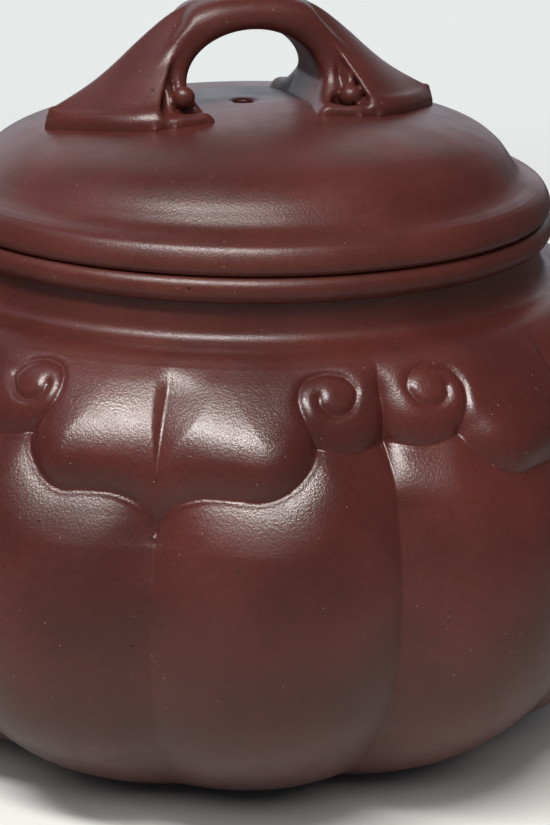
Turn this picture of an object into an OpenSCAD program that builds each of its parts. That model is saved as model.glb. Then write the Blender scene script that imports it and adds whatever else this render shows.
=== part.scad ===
// Ribbed clay teapot with ruyi heads round the shoulder and a bridge knob on an overlapping lid.
// Millimetres. Origin: the pot's axis at the plane it stands on. +X: the spout. +Z: up.

/* [Body] */
// Radius of the belly at the crest of a lobe
belly_r = 52.5; // [50:0.5:55]
// Height of the widest level of the belly
belly_z = 27; // [24:0.5:29]
// Height at which the lobed wall starts
wall_bottom_z = 0.8; // [0.6:0.1:1.4]
// Height at which the lobed wall ends and the shoulder cap is luted on
wall_top_z = 53.6; // [52.6:0.1:54.4]
// Radius of the lobe crests at the foot of the wall
wall_bottom_r = 31.5; // [30:0.5:33]
// Run of the shoulder cap from the neck out to the lobe crests
shoulder_run = 4.5; // [3.8:0.1:5.4]
// Thickness of the wall behind the deepest crease
wall_t = 2.8; // [2.2:0.1:3.4]
// Number of ruyi heads; each spans two lobes
heads = 6; // [6:1:6]
// Depth of the crease below the tip of a ruyi head
tip_crease = 1.5; // [1:0.1:2.2]
// Depth of the crease between two ruyi heads
side_crease = 3.3; // [2.4:0.1:3.8]
// Height over which the creases run out below the shoulder
crease_out = 14; // [11:0.5:17]
// Height over which the creases gain their full depth above the foot
crease_in = 12; // [9:0.5:15]

/* [Base] */
// Height of the underside of the base disc, which is the height of the foot ring
foot_h = 1.2; // [0.9:0.1:2]
// Gap between the foot ring and the wall around it
foot_gap = 0.4; // [0.3:0.1:2]
// Width of the foot ring's tread
foot_w = 4.6; // [3:0.1:6]
// Thickness of the base disc
base_t = 3; // [2.2:0.1:4]

/* [Shoulder and mouth] */
// Height at which the shoulder cap meets the neck
neck_z = 56.6; // [55.8:0.1:57.2]
// Radius of the neck
neck_r = 34.8; // [34:0.1:35.2]
// Height of the neck
neck_h = 1.4; // [1:0.1:2]
// How far the mouth ring stands proud of the neck
mouth_bulge = 1.2; // [0.8:0.1:1.8]
// Height of the mouth ring
mouth_h = 2.9; // [2.4:0.1:3.4]
// Thickness of the neck, from its outside to the mouth's bore
neck_t = 6.2; // [5.6:0.1:7]

/* [Lid] */
// How far the lid's rim band stands inside the mouth ring
lid_inset = 0.3; // [0:0.1:0.8]
// How far the dome's edge stands inside the rim band
dome_inset = 1.4; // [1:0.1:1.8]
// Gap of the closed lid over the mouth ring
lid_seat_gap = 0.1; // [0.05:0.05:0.2]
// Height of the lid's rim band
rim_h = 3; // [2.6:0.1:3.4]
// Height of the lid's dome above its rim band
dome_h = 8.6; // [7.6:0.1:9.6]
// Thickness of the lid's dome
lid_t = 2.8; // [2.2:0.1:3.2]
// Radial clearance of the lid's flange in the mouth
flange_gap = 0.35; // [0.25:0.05:0.6]
// Thickness of the lid's flange
flange_t = 2.8; // [2.2:0.1:3.2]
// Depth of the lid's flange below the seam
flange_depth = 6.5; // [5:0.1:8]
// Diameter of the steam hole at the top of the dome
steam_hole_d = 2.4; // [1.8:0.1:3]

/* [Knob] */
// Half of the width of the arched opening below the bridge
arch_a = 6.8; // [6:0.1:7.4]
// Height of the arched opening above the dome
arch_b = 8.3; // [7.4:0.1:9.2]
// Thickness of the bridge at its top
bridge_t = 4.2; // [3.6:0.1:5]
// Thickness of the bridge's legs where they stand on the dome
leg_t = 5.6; // [5:0.1:6.2]
// Half of the depth of the bridge at its top, from front to back
bridge_w = 4.6; // [4:0.1:5.4]
// Half of the depth of the legs where they stand on the dome
leg_w = 9.6; // [8.6:0.1:10.4]
// Distance of a leaf's tip from the axis
leaf_tip = 22.8; // [21.5:0.1:24]
// Half of the widest part of a leaf
leaf_w = 11.4; // [10.4:0.1:12.4]
// Height of a leaf's ridge above the dome where it leaves the leg
leaf_h = 7.6; // [6.6:0.1:8.4]
// Height of a leaf's upturned tip above the dome
leaf_lift = 1.1; // [0.8:0.1:1.6]

/* [Ruyi heads] */
// Height of a ruyi head's pointed tip
tip_z = 37.7; // [37:0.1:39]
// Height of the lower edge of a ruyi head's two cheeks
cheek_z = 41.9; // [41.2:0.1:42.8]
// Height of the notch between a cheek and the scroll
notch_z = 46.8; // [46:0.1:47.6]
// Angle of the notch from the middle of the head
notch_a = 18.8; // [17.5:0.1:20]
// Height of the lower edge of the band below a scroll
band_z = 45.8; // [45:0.1:46.6]
// Relief of a ruyi head at its lower edge
head_lift = 1.2; // [0.9:0.1:1.6]
// Distance of a head's upper edge below the edge of the wall
top_gap = 0.7; // [0.5:0.1:1.2]
// Angle left free beside the crease between two heads
side_gap = 0.7; // [0.5:0.1:1.5]
// Angle of a scroll's centre from the middle of the head
scroll_a = 21.2; // [20.4:0.1:22]
// Height of a scroll's centre
scroll_z = 50; // [49.6:0.1:50.4]
// Radius of a scroll
scroll_r = 3.2; // [2.8:0.1:3.4]
// Radius of the line that draws a scroll
scroll_line_r = 0.5; // [0.4:0.05:0.6]

/* [Spout and handle] */
// Reach of the spout and of the handle from the axis
reach = 79; // [76:0.5:82]
// Height of the middle of the spout's root
spout_root_z = 25; // [23:0.5:25.5]
// Height of the spout's lip
spout_tip_z = 60; // [58:0.5:62]
// Radius of the spout's root
spout_root_r = 10.5; // [9.5:0.1:11]
// Radius of the spout's lip
spout_tip_r = 4.6; // [4.3:0.1:5.4]
// Thickness of the spout's wall
spout_wall = 2; // [1.6:0.1:2.2]
// Radius of the hole through the body wall behind the spout
spout_hole_r = 7.6; // [7:0.1:8]
// Diameter of a hole in the strainer
strainer_hole_d = 2; // [1.6:0.1:2.2]
// Thickness of the strainer
strainer_t = 1.6; // [1.4:0.1:2]
// Height of the handle's upper root
handle_top_z = 47; // [45.5:0.5:47.5]
// Height of the handle's lower root
handle_low_z = 16; // [15:0.5:18]
// Thickness of the handle across its loop
handle_t = 7; // [6:0.1:8]
// Depth of the handle from side to side
handle_w = 8.6; // [7.5:0.1:10]
// How far the handle runs out from its upper root before it bends down
handle_out = 19; // [17:0.5:21]
// How far the handle runs out from its lower root before it bends up
handle_back = 15; // [13:0.5:17]
// Length over which the handle runs straight down at its rearmost point
handle_drop = 17; // [15:0.5:19]

/* [Hidden] */
$fn = 96;

clay = [0.34, 0.2, 0.18];
clay_light = [0.42, 0.26, 0.23];
clay_dark = [0.27, 0.15, 0.13];

// Fullness of the belly's curve above and below its widest level
upper_n = 2.3;
lower_n = 2.2;
wall_top_r = neck_r + shoulder_run;
head_span = 360 / heads;
half_head = head_span / 2;
// Half heights at which the two curves of the belly would close
upper_h = (wall_top_z - belly_z) / close_at(wall_top_r / belly_r, upper_n);
lower_h = (belly_z - wall_bottom_z) / close_at(wall_bottom_r / belly_r, lower_n);
wall_rows = 24;
wall_cols = 96;
mouth_z = neck_z + neck_h;
seam_z = mouth_z + mouth_h;
lid_z = seam_z + lid_seat_gap;
dome_z = lid_z + rim_h;
apex_z = dome_z + dome_h;
bore_r = neck_r - neck_t;
mouth_r = neck_r + mouth_bulge;
lid_r = mouth_r - lid_inset;
flange_r = bore_r - flange_gap;
// Radius of the dome where it meets the rim band
dome_r = lid_r - dome_inset;
foot_r = wall_bottom_r - side_crease - wall_t - foot_gap;
leg_out = arch_a + leg_t;
// The spout leaves the wall nearly level, swings up and ends level with the mouth
spout_tip_x = reach - 0.7 * spout_tip_r;
spout_line = [[wall_in_r(spout_root_z) + 0.6, 0, spout_root_z], [spout_tip_x - 11, 0, spout_root_z + 4],
    [spout_tip_x - 14, 0, spout_tip_z - 14], [spout_tip_x, 0, spout_tip_z]];

function close_at(ratio, n) = pow(1 - pow(ratio, n), 1 / n);
function smooth(t) = let (u = max(0, min(1, t))) u * u * (3 - 2 * u);
function mix(a, b, t) = a + (b - a) * t;
// Points of a curve with three control points, without its last point
function bend(p, q, r, n) = [for (i = [0:n - 1]) let (t = i / n)
    (1 - t) * (1 - t) * p + 2 * t * (1 - t) * q + t * t * r];
function bend_at(p, q, r, s, t) = pow(1 - t, 3) * p + 3 * t * pow(1 - t, 2) * q
    + 3 * t * t * (1 - t) * r + pow(t, 3) * s;
function bend_dir(p, q, r, s, t) = let (d = 3 * pow(1 - t, 2) * (q - p)
    + 6 * t * (1 - t) * (r - q) + 3 * t * t * (s - r)) d / norm(d);

// Radius of the lobe crests at height z
function crest_r(z) = let (n = z > belly_z ? upper_n : lower_n,
    t = z > belly_z ? (z - belly_z) / upper_h : (belly_z - z) / lower_h)
    belly_r * pow(1 - pow(min(t, 1), n), 1 / n);
// Share of the full crease depth at height z
function crease_share(z) = pow(max(0, min(1, (wall_top_z - z) / crease_out)), 0.8)
    * (0.55 + 0.45 * max(0, min(1, z / crease_in)));
// Angle from the middle of the nearest ruyi head
function head_angle(a) = abs((a + half_head + 360) % head_span - half_head);
// Radius of the outside of the lobed wall at angle a and height z
function wall_r(a, z) = let (u = head_angle(a) / half_head,
    depth = u < 0.5 ? tip_crease : side_crease)
    crest_r(z) - crease_share(z) * depth * (1 - sin(180 * u));
function wall_in_r(z) = crest_r(z) - side_crease - wall_t;
function on_wall(a, z, lift) = let (r = wall_r(a, z) + lift) [r * cos(a), r * sin(a), z];

// Height of the lower edge of a ruyi head at angle a from its middle
function edge_z(a) = let (b = abs(a)) b < notch_a
    ? cheek_z - (cheek_z - tip_z) * exp(-b / 1.9) + (notch_z - cheek_z) * pow(b / notch_a, 10)
    : band_z + (notch_z - band_z) * pow((b - mix(notch_a, half_head, 0.55)) / (0.55 * (half_head - notch_a)), 2);

// Height of the top of the lid at radius r: a shallow dome, a rounded edge and an ogee
function dome_top(r) = apex_z - dome_h * (0.24 * pow(r / dome_r, 2)
    + 0.64 * smooth((r - 0.68 * dome_r) / (0.32 * dome_r)) + 0.12 * pow(r / dome_r, 6));

function quads(rings, m, closed) = [for (i = [0:rings - (closed ? 1 : 2)], j = [0:m - 1])
    let (a = i * m + j, b = i * m + (j + 1) % m,
        c = ((i + 1) % rings) * m + (j + 1) % m, d = ((i + 1) % rings) * m + j)
    each [[a, d, b], [b, d, c]]];

// A solid through rings of equally many points, with flat ends
module loft(rings) {
    m = len(rings[0]);
    n = len(rings);
    ends = [[for (j = [0:m - 1]) j], [for (j = [m - 1:-1:0]) (n - 1) * m + j]];
    polyhedron([for (ring = rings) each ring], concat(quads(n, m, false), ends), convexity = 8);
}

// A hollow solid whose rings run up the outside and back down the inside
module hollow_loft(rings) {
    m = len(rings[0]);
    polyhedron([for (ring = rings) each ring], quads(len(rings), m, true), convexity = 8);
}

// A closed slab between an outer and an inner grid of the same rows and columns
module slab(outer, inner) {
    rings = [for (i = [0:len(outer) - 1])
        concat(outer[i], [for (j = [len(inner[i]) - 1:-1:0]) inner[i][j]])];
    loft_strips(rings);
}

// As loft, with its ends closed by strips between the outer and inner rows
module loft_strips(rings) {
    m = len(rings[0]);
    n = len(rings);
    h = m / 2;
    first = [for (j = [0:h - 2]) each [[j, j + 1, m - 1 - j], [j + 1, m - 2 - j, m - 1 - j]]];
    k = (n - 1) * m;
    last = [for (f = first) [k + f[0], k + f[2], k + f[1]]];
    polyhedron([for (ring = rings) each ring], concat(quads(n, m, false), first, last), convexity = 8);
}

// Lobed wall of the body, open above and below, with a hole behind the spout
module body_wall() {
    rows = [for (i = [0:wall_rows]) mix(wall_bottom_z, wall_top_z, (1 - cos(180 * i / wall_rows)) / 2)];
    inside = [for (z = rows) [wall_in_r(z), z]];
    color(clay) difference() {
        loft([for (z = rows) [for (j = [0:wall_cols - 1]) on_wall(j * 360 / wall_cols, z, 0)]]);
        rotate_extrude() polygon(concat(
            [[0, wall_bottom_z - 1], [inside[0][0], wall_bottom_z - 1]],
            inside,
            [[inside[wall_rows][0], wall_top_z + 1], [0, wall_top_z + 1]]));
        translate([0, 0, spout_root_z]) rotate([0, 90, 0]) cylinder(r = spout_hole_r, h = belly_r + 5);
    }
}

// Disc that closes the wall below
module base_disc() {
    steps = 6;
    zs = [for (i = [0:steps]) foot_h + base_t * i / steps];
    color(clay_dark) rotate_extrude()
        polygon(concat([[0, foot_h]], [for (z = zs) [wall_in_r(z), z]], [[0, foot_h + base_t]]));
}

// Ring that the pot stands on, with rounded treads
module foot_ring() {
    e = 0.3;
    color(clay_dark) rotate_extrude() polygon([
        [foot_r - foot_w, foot_h], [foot_r - foot_w, e], [foot_r - foot_w + e, 0],
        [foot_r - e, 0], [foot_r, e], [foot_r, foot_h]]);
}

// Cap that closes the wall above and turns up into the neck
module shoulder_ring() {
    top = [neck_r, neck_z];
    outer = bend([wall_top_r, wall_top_z], [neck_r + 1, mix(wall_top_z, neck_z, 0.35)], top, 10);
    low = [wall_in_r(wall_top_z), wall_top_z];
    inner = bend([bore_r, neck_z], [bore_r, mix(wall_top_z, neck_z, 0.4)], low, 8);
    color(clay) rotate_extrude() polygon(concat(outer, [top], inner, [low]));
}

// Short neck between the shoulder and the mouth ring
module neck_ring() {
    waist = 0.25;
    side = bend([neck_r, neck_z], [neck_r - 2 * waist, neck_z + neck_h / 2], [neck_r, mouth_z], 6);
    color(clay) rotate_extrude()
        polygon(concat(side, [[neck_r, mouth_z], [bore_r, mouth_z], [bore_r, neck_z]]));
}

// Rounded ring round the mouth, which carries the lid
module mouth_ring() {
    e = 0.5;
    low = bend([neck_r, mouth_z], [mouth_r, mouth_z], [mouth_r, mouth_z + mouth_h / 2], 6);
    high = bend([mouth_r, mouth_z + mouth_h / 2], [mouth_r, seam_z - 0.2], [mouth_r - e, seam_z], 6);
    color(clay_light) rotate_extrude() polygon(concat(low, high,
        [[mouth_r - e, seam_z], [bore_r + 0.4, seam_z], [bore_r, seam_z - 0.4], [bore_r, mouth_z]]));
}

// Relief head whose two cheeks meet in a tip on a crease of the wall
module ruyi_head(number) {
    cols = 36;
    rows = 6;
    reach_a = half_head - side_gap;
    sunk = 0.4;
    top_z = wall_top_z - top_gap;
    turn = (number - 1) * head_span;
    function lift(v) = head_lift * (1 - 0.75 * pow(v, 1.5));
    outer = [for (j = [0:cols]) let (a = reach_a * (2 * j / cols - 1))
        [for (i = [0:rows]) on_wall(turn + a, mix(edge_z(a), top_z, i / rows), lift(i / rows))]];
    inner = [for (j = [0:cols]) let (a = reach_a * (2 * j / cols - 1))
        [for (i = [0:rows]) on_wall(turn + a, mix(edge_z(a), top_z, i / rows), -sunk)]];
    color(clay) slab(outer, inner);
}

// Two coiled lines that end the upper corners of a ruyi head in scrolls
module scroll_pair(number) {
    turn = (number - 1) * head_span;
    for (side = [-1, 1]) scroll(turn, side);
}

module scroll(turn, side) {
    rings = 22;
    sides = 8;
    start = -120;
    sweep = -460;
    slope = 0.68;
    r0 = wall_r(turn + scroll_a, scroll_z);
    function at(t, w) = let (
        line_r = scroll_line_r * (1 - 0.45 * t),
        rho = scroll_r * (1.15 - 0.95 * pow(t, 0.9)) + line_r * cos(w),
        b = start + sweep * t,
        a = scroll_a + rho * cos(b) / r0 * 180 / PI,
        z = scroll_z + rho * sin(b) * slope)
        on_wall(turn + side * a, z, 0.75 * head_lift + line_r * sin(w));
    path = [for (i = [0:rings]) [for (j = [0:sides - 1]) at(i / rings, -side * j * 360 / sides)]];
    color(clay_light) loft(path);
}

// Curve of the spout's middle and its radius, from the root inside the wall to the lip
function spout_p(t) = bend_at(spout_line[0], spout_line[1], spout_line[2], spout_line[3], t);
function spout_d(t) = bend_dir(spout_line[0], spout_line[1], spout_line[2], spout_line[3], t);
function spout_r(t) = mix(spout_tip_r, spout_root_r, pow(1 - t, 1.6));
// A ring of points square to a direction in the XZ plane
function ring(p, d, rn, ry, m) = [for (j = [0:m - 1]) let (w = j * 360 / m)
    p + rn * cos(w) * [-d[2], 0, d[0]] + [0, ry * sin(w), 0]];

// Hollow spout, luted over the hole in the wall
module spout() {
    steps = 14;
    m = 20;
    outer = [for (i = [0:steps]) let (t = i / steps) ring(spout_p(t), spout_d(t), spout_r(t), spout_r(t), m)];
    inner = [for (i = [steps:-1:0]) let (t = i / steps, r = spout_r(t) - spout_wall)
        ring(spout_p(t), spout_d(t), r, r, m)];
    color(clay) hollow_loft(concat(outer, inner));
}

// Pierced dome behind the spout that holds the leaves back
module strainer() {
    seat_x = wall_in_r(spout_root_z) - 1.2;
    seat_h = 3.2;
    pitch = strainer_hole_d + 0.8;
    r = spout_hole_r;
    q = spout_hole_r - strainer_t;
    bulge = [for (w = [0:9:90]) r * [cos(w), -sin(w)]];
    hollow = [for (w = [90:-9:0]) q * [cos(w), -sin(w)]];
    color(clay_dark) translate([seat_x, 0, spout_root_z]) rotate([0, 90, 0]) difference() {
        rotate_extrude() polygon(concat([[r, seat_h]], bulge, hollow, [[q, seat_h]]));
        for (i = [-2:2], j = [-2:2]) {
            if (abs(i) + abs(j) < 3)
                translate([i * pitch, j * pitch, -r - 1]) cylinder(d = strainer_hole_d, h = r + 1);
        }
    }
}

// Ear-shaped handle from the shoulder down to the lower belly
module handle() {
    steps = 30;
    m = 14;
    root = 1.5;
    upper = [-wall_r(180, handle_top_z) + root, 0, handle_top_z];
    lower = [-wall_r(180, handle_low_z) + root, 0, handle_low_z];
    back = -reach + handle_t / 2;
    bow_z = mix(handle_low_z, handle_top_z, 0.62);
    // The loop is two curves that meet at its rearmost point
    p = [back, 0, bow_z];
    q1 = upper + handle_out * [-1, 0, 0.32];
    q2 = p + [0, 0, 0.88 * handle_drop];
    q3 = p - [0, 0, handle_drop];
    q4 = lower + handle_back * [-1, 0, -0.07];
    function at(t) = t < 0.5 ? bend_at(upper, q1, q2, p, 2 * t) : bend_at(p, q3, q4, lower, 2 * t - 1);
    function dir(t) = t < 0.5 ? bend_dir(upper, q1, q2, p, 2 * t) : bend_dir(p, q3, q4, lower, 2 * t - 1);
    function grow(t) = 1 + 0.3 * pow(abs(2 * t - 1), 6);
    rings = [for (i = [0:steps]) let (t = i / steps)
        ring(at(t), dir(t), handle_t / 2 * grow(t), handle_w / 2 * grow(t), m)];
    color(clay) loft(rings);
}

// Rounded band of the lid that stands over the mouth ring
module lid_rim() {
    e = 0.3;
    low = bend([lid_r - e, lid_z], [lid_r, lid_z + 0.3], [lid_r, lid_z + rim_h * 0.45], 5);
    high = bend([lid_r, lid_z + rim_h * 0.45], [lid_r, dome_z - 0.4], [dome_r, dome_z], 8);
    color(clay_light) rotate_extrude() polygon(concat([[flange_r, lid_z]], low, high,
        [[dome_r, dome_z], [flange_r, dome_z]]));
}

// Shell of the lid from its rim band to the steam hole
module lid_dome() {
    steps = 26;
    top = [for (i = [0:steps]) let (r = dome_r * i / steps) [r, dome_top(r)]];
    under = [for (i = [12:-1:0]) let (r = flange_r * i / 12) [r, max(dome_z + 0.4, dome_top(r) - lid_t)]];
    color(clay) difference() {
        rotate_extrude() polygon(concat(top, [[flange_r, dome_z]], under));
        translate([0, 0, dome_z]) cylinder(d = steam_hole_d, h = dome_h + 1, $fn = 32);
    }
}

// Deep ring below the lid that keeps it in the mouth
module lid_flange() {
    e = 0.5;
    z0 = seam_z - flange_depth;
    color(clay_dark) rotate_extrude() polygon([
        [flange_r - flange_t, dome_z], [flange_r - flange_t, z0 + e], [flange_r - flange_t + e, z0],
        [flange_r - e, z0], [flange_r, z0 + e], [flange_r, dome_z]]);
}

// Height of the ridge of the knob above the axis plane at distance x
function ridge_z(x) = mix(dome_top(leg_out - 3) + leaf_h + 0.9, dome_top(leaf_tip) + leaf_lift,
    pow(max(0, (x - leg_out + 3) / (leaf_tip - leg_out + 3)), 0.72));

// Arched bar that the lid is lifted by
module knob_bridge() {
    steps = 22;
    m = 16;
    sunk = 0.5;
    foot_z = dome_top(leg_out) - sunk;
    rings = [for (i = [0:steps]) let (
        w = 180 * i / steps,
        t = mix(leg_t, bridge_t, sin(w)) / 2,
        p = [-(arch_a + t) * cos(w), 0, foot_z + (dome_top(0) - foot_z + arch_b + t) * sin(w)],
        d = let (v = [(arch_a + t) * sin(w), 0, (dome_top(0) - foot_z + arch_b + t) * cos(w)]) v / norm(v))
        ring(p, d, t, mix(leg_w, bridge_w, pow(sin(w), 0.8)), m)];
    color(clay_light) loft(rings);
}

// Leaf that runs from a leg of the bridge down the dome to an upturned tip
module knob_leaf(side) {
    rows = 9;
    cols = 10;
    start = leg_out - 3;
    sunk = 0.5;
    function half(u) = mix(leaf_w, 0.8, u * u);
    function place(u, v, z) = [side * mix(start, leaf_tip, u), v * half(u), z];
    function ground(u, v) = dome_top(norm([mix(start, leaf_tip, u), v * half(u)]));
    function top(u, v) = let (g = ground(u, v), x = mix(start, leaf_tip, u))
        g + 0.5 + max(0, ridge_z(x) - g - 0.5) * pow(1 - abs(v), 1.25);
    us = [for (i = [0:rows]) i / rows];
    vs = [for (j = [0:cols]) side * (2 * j / cols - 1)];
    color(clay_light) slab(
        [for (u = us) [for (v = vs) place(u, v, top(u, v))]],
        [for (u = us) [for (v = vs) place(u, v, ground(u, v) - sunk + (leaf_lift + sunk - 0.5) * pow(u, 8))]]);
}

body_wall();
base_disc();
foot_ring();
shoulder_ring();
neck_ring();
mouth_ring();
ruyi_head(1);  // ruyi_head_1
ruyi_head(2);  // ruyi_head_2
ruyi_head(3);  // ruyi_head_3
ruyi_head(4);  // ruyi_head_4
ruyi_head(5);  // ruyi_head_5
ruyi_head(6);  // ruyi_head_6
scroll_pair(1);  // scroll_pair_1
scroll_pair(2);  // scroll_pair_2
scroll_pair(3);  // scroll_pair_3
scroll_pair(4);  // scroll_pair_4
scroll_pair(5);  // scroll_pair_5
scroll_pair(6);  // scroll_pair_6
spout();
strainer();
handle();
lid_rim();
lid_dome();
lid_flange();
knob_bridge();
knob_leaf(-1);  // knob_leaf_left
knob_leaf(1);  // knob_leaf_right
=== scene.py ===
import math
import bpy
import numpy as np
from mathutils import Matrix, Vector


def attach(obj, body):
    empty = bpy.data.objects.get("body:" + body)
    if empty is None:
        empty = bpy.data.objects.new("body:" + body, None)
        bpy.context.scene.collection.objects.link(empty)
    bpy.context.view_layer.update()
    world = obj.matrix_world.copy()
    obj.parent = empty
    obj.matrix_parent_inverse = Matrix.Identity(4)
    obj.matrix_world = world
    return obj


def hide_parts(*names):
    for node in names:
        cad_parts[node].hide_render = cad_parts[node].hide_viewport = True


# A ribbed clay teapot. Lengths are millimetres until a mesh is made, angles are degrees.
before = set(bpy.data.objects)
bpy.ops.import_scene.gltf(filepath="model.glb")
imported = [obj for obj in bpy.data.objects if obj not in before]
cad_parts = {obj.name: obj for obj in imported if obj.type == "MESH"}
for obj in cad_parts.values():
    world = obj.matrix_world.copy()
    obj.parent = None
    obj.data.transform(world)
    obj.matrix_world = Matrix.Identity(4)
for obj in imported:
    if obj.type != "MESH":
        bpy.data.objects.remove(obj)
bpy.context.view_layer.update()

MM = 0.001

# ---------------------------------------------------------------- sizes of the pot
HEADS = 6
HALF_HEAD = 180 / HEADS
BELLY_R, BELLY_Z = 52.5, 27.0
UPPER_N, LOWER_N = 2.3, 2.2
WALL_BOTTOM_R, WALL_BOTTOM_Z = 31.5, 0.8
WALL_TOP_R, WALL_TOP_Z = 39.3, 53.6
TIP_CREASE, SIDE_CREASE = 2.2, 3.3
CREASE_OUT, CREASE_IN = 14.0, 12.0
FOOT_CREASE = 0.55
WALL_T = 2.8
NECK_R, NECK_Z, MOUTH_Z = 34.8, 56.6, 58.0
MOUTH_R, SEAM_Z, BORE_R = 36.0, 60.9, 28.6
LID_Z = 61.0
FLANGE_R = 28.25
LID_T = 2.8
STEAM_HOLE_R = 1.2

# ---------------------------------------------------------------- the photograph's camera
CAM_AZIMUTH = -20.03
CAM_DISTANCE, CAM_HEIGHT = 261.3, 120.65
CAM_YAW, CAM_PITCH, CAM_ROLL = 0.93, 18.17, 0.98
CAM_LENS = 100.0


def ramp(value, start, end):
    """A soft step from 0 at start to 1 at end."""
    u = np.clip((value - start) / (end - start), 0, 1)
    return u * u * (3 - 2 * u)


def mix(a, b, t):
    return a + (b - a) * t


def close_at(ratio, n):
    """Where a superellipse of power n has narrowed to a ratio of its radius."""
    return (1 - ratio ** n) ** (1 / n)


UPPER_H = (WALL_TOP_Z - BELLY_Z) / close_at(WALL_TOP_R / BELLY_R, UPPER_N)
LOWER_H = (BELLY_Z - WALL_BOTTOM_Z) / close_at(WALL_BOTTOM_R / BELLY_R, LOWER_N)


def crest_r(z):
    """Radius of the lobe crests at height z."""
    z = np.asarray(z, float)
    up = z > BELLY_Z
    n = np.where(up, UPPER_N, LOWER_N)
    t = np.where(up, (z - BELLY_Z) / UPPER_H, (BELLY_Z - z) / LOWER_H)
    return BELLY_R * np.maximum(1 - np.clip(t, 0, 1) ** n, 0) ** (1 / n)


def crease_share(z):
    """Share of the creases' depth: none at the top of the wall and FOOT_CREASE of it at the foot."""
    top = np.clip((WALL_TOP_Z - z) / CREASE_OUT, 0, 1) ** 0.8
    return top * (FOOT_CREASE + (1 - FOOT_CREASE) * np.clip(z / CREASE_IN, 0, 1))


def bezier(points, n):
    """n + 1 points along a Bezier curve of three or four control points."""
    p = np.array(points, float)
    t = np.linspace(0, 1, n + 1)[:, None]
    while len(p) > 1:
        p = [mix(a, b, t) for a, b in zip(p[:-1], p[1:])]
    return p[0]


def spline(points, per=12):
    """A smooth curve through points (Catmull-Rom)."""
    p = np.array(points, float)
    q = np.vstack([2 * p[0] - p[1], p, 2 * p[-1] - p[-2]])
    t = np.linspace(0, 1, per, endpoint=False)[:, None]
    out = []
    for a, b, c, d in zip(q[:-3], q[1:-2], q[2:-1], q[3:]):
        out.append(0.5 * (2 * b + (c - a) * t + (2 * a - 5 * b + 4 * c - d) * t ** 2
                          + (3 * b - a - 3 * c + d) * t ** 3))
    out.append(p[-1:])
    return np.vstack(out)


def arc_length(points):
    return np.concatenate([[0], np.cumsum(np.linalg.norm(np.diff(points, axis=0), axis=1))])


# ---------------------------------------------------------------- meshes
def mesh_object(name, verts, quads, body, material, tris=()):
    """An object from arrays, in millimetres, smooth shaded, riding on a body."""
    mesh = bpy.data.meshes.new(name)
    verts = np.asarray(verts, float) * MM
    quads = np.asarray(quads, int).reshape(-1, 4)
    tris = np.asarray(tris, int).reshape(-1, 3)
    loops = np.concatenate([quads.ravel(), tris.ravel()])
    starts = np.concatenate([np.arange(len(quads)) * 4, len(quads) * 4 + np.arange(len(tris)) * 3])
    mesh.vertices.add(len(verts))
    mesh.vertices.foreach_set("co", verts.ravel())
    mesh.loops.add(len(loops))
    mesh.loops.foreach_set("vertex_index", loops.astype(np.int32))
    mesh.polygons.add(len(starts))
    mesh.polygons.foreach_set("loop_start", starts.astype(np.int32))
    mesh.polygons.foreach_set("use_smooth", np.ones(len(starts), bool))
    mesh.update(calc_edges=True)
    mesh.validate()
    obj = bpy.data.objects.new(name, mesh)
    bpy.context.scene.collection.objects.link(obj)
    mesh.materials.append(material)
    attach(obj, body)
    return obj


def grid_quads(rows, cols, wrap_rows=False, flip=False):
    """Quads between rings of points; wrap_rows joins the last ring to the first."""
    i = np.arange(rows if wrap_rows else rows - 1)[:, None]
    j = np.arange(cols)[None, :]
    i2, j2 = (i + 1) % rows, (j + 1) % cols
    q = np.stack([i * cols + j, i * cols + j2, i2 * cols + j2, i2 * cols + j], -1).reshape(-1, 4)
    return q[:, ::-1] if flip else q


def revolve(name, profile, body, material, warp=None):
    """Turns a closed profile of (radius, height) points round the axis; warp moves the points."""
    p = np.asarray(profile, float)
    cols = 480
    a = np.radians(np.arange(cols) * 360 / cols)
    r, z = p[:, :1] + 0 * a, p[:, 1:] + 0 * a
    if warp:
        r, z = warp(r, z, a[None, :])
    verts = np.stack([r * np.cos(a), r * np.sin(a), z], -1).reshape(-1, 3)
    return mesh_object(name, verts, grid_quads(len(p), cols, wrap_rows=True), body, material)


def distance_to(line, x, y):
    """Distance from points to a polyline."""
    best = np.full(x.shape, 1e9)
    for (ax, ay), (bx, by) in zip(line[:-1], line[1:]):
        dx, dy = bx - ax, by - ay
        t = np.clip(((x - ax) * dx + (y - ay) * dy) / (dx * dx + dy * dy + 1e-12), 0, 1)
        best = np.minimum(best, np.hypot(x - ax - t * dx, y - ay - t * dy))
    return best


def smax(a, b, k):
    """The larger of two fields, rounded over a width k where they meet."""
    h = np.maximum(k - np.abs(a - b), 0) / k
    return np.maximum(a, b) + h * h * k / 4


def smin(a, b, k):
    return -smax(-a, -b, k)


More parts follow.
